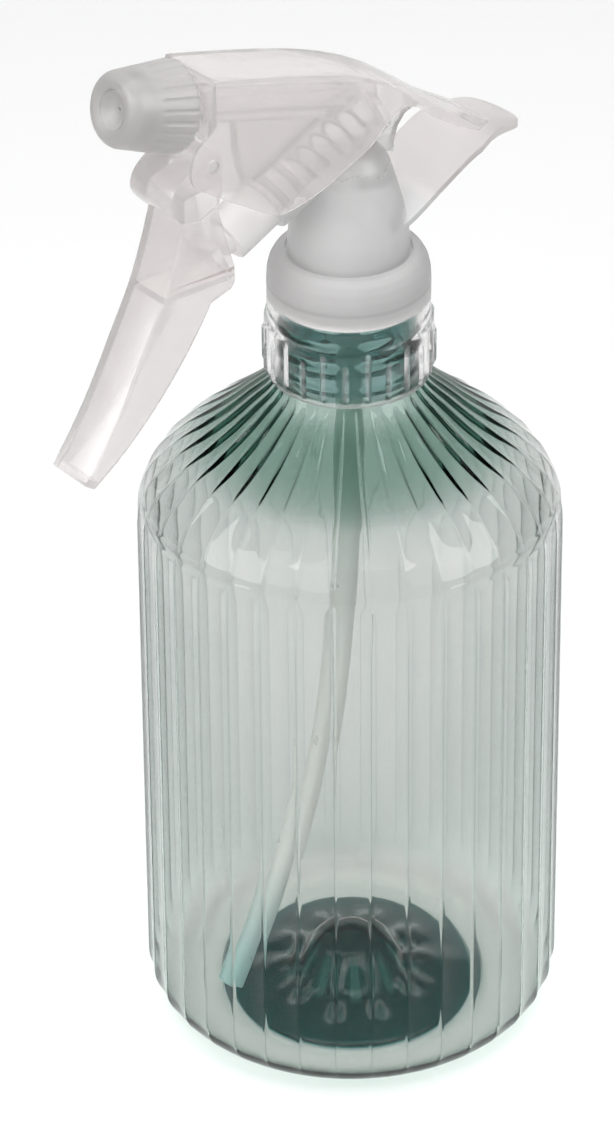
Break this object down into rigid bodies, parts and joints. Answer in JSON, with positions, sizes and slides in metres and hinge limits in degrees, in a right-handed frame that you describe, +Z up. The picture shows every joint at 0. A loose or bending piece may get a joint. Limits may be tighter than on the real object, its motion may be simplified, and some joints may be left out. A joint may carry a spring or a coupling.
{
  "type": "hand mister",
  "caption": "Fluted, teal-tinted clear bottle with a translucent trigger pump head, a screw collar, a turning nozzle and a curved dip tube.",
  "frame": {"origin": "on the surface that the bottle stands on, at the middle of the whole object's footprint box; the bottle's axis is parallel to Z, 12 mm to +X of it", "axes": "+Z up along the bottle's axis; -X is the way that the nozzle points, seen from above; the head is symmetric about the plane y = 0"},
  "size_m": [0.104, 0.08, 0.2163],
  "materials": {
    "bottle_plastic": "clear teal-tinted bottle plastic, glossy",
    "clear_plastic": "clear, slightly hazy",
    "frosted_plastic": "natural translucent, satin",
    "white_plastic": "natural, semi-matt",
    "tube_plastic": "translucent flexible tube",
    "foam": "closed-cell foam",
    "seal_rubber": "soft moulded rubber",
    "spring_steel": "bright drawn stainless wire and balls"
  },
  "bodies": {
    "bottle": {"bottle": "bottle_plastic"},
    "head": {"pump_body": "frosted_plastic", "neck_gasket": "foam", "shroud": "frosted_plastic", "return_spring": "spring_steel", "tube_holder": "white_plastic", "dip_tube": "tube_plastic", "outlet_spring": "spring_steel", "swirl_core": "white_plastic", "discharge_plug": "white_plastic"},
    "collar": {"collar": "clear_plastic"},
    "trigger": {"trigger": "frosted_plastic"},
    "piston": {"piston": "white_plastic", "piston_seal": "seal_rubber", "piston_wiper": "seal_rubber"},
    "inlet_ball": {"inlet_ball": "spring_steel"},
    "outlet_ball": {"outlet_ball": "spring_steel"},
    "nozzle": {"nozzle": "frosted_plastic", "orifice_cup": "white_plastic", "nozzle_seal": "seal_rubber"}
  },
  "joints": [
    {"name": "head_lift", "type": "slide", "parent": "bottle", "child": "head", "axis": [0, 0, 1], "range_m": [0, 0.0063]},
    {"name": "collar_turn", "type": "hinge", "parent": "head", "child": "collar", "pos_m": [0.01205, 0, 0.15], "axis": [0, 0, 1], "range_deg": [0, 540]},
    {"name": "trigger_pull", "type": "hinge", "parent": "head", "child": "trigger", "pos_m": [-0.02365, 0, 0.1959], "axis": [0, -1, 0], "range_deg": [0, 21], "stiffness_Nm_per_rad": 1, "springref_deg": -11.46},
    {"name": "piston_stroke", "type": "slide", "parent": "head", "child": "piston", "axis": [0.891, 0, 0.454], "range_m": [0, 0.0076], "deforming": ["return_spring"]},
    {"name": "nozzle_turn", "type": "hinge", "parent": "head", "child": "nozzle", "pos_m": [-0.02725, 0, 0.2064], "axis": [-0.9641, 0, 0.2656], "range_deg": [0, 180]},
    {"name": "inlet_ball_lift", "type": "slide", "parent": "head", "child": "inlet_ball", "axis": [0, 0, 1], "range_m": [0, 0.003]},
    {"name": "outlet_ball_lift", "type": "slide", "parent": "head", "child": "outlet_ball", "axis": [-0.9641, 0, 0.2656], "range_m": [0, 0.0008], "stiffness_N_per_m": 100, "springref_m": -0.001, "deforming": ["outlet_spring"]}
  ],
  "couplings": [
    {"joint": "collar_turn", "follows": "head_lift", "rad_per_m": 1488},
    {"joint": "piston_stroke", "follows": "trigger_pull", "m_per_rad": 0.0205}
  ]
}
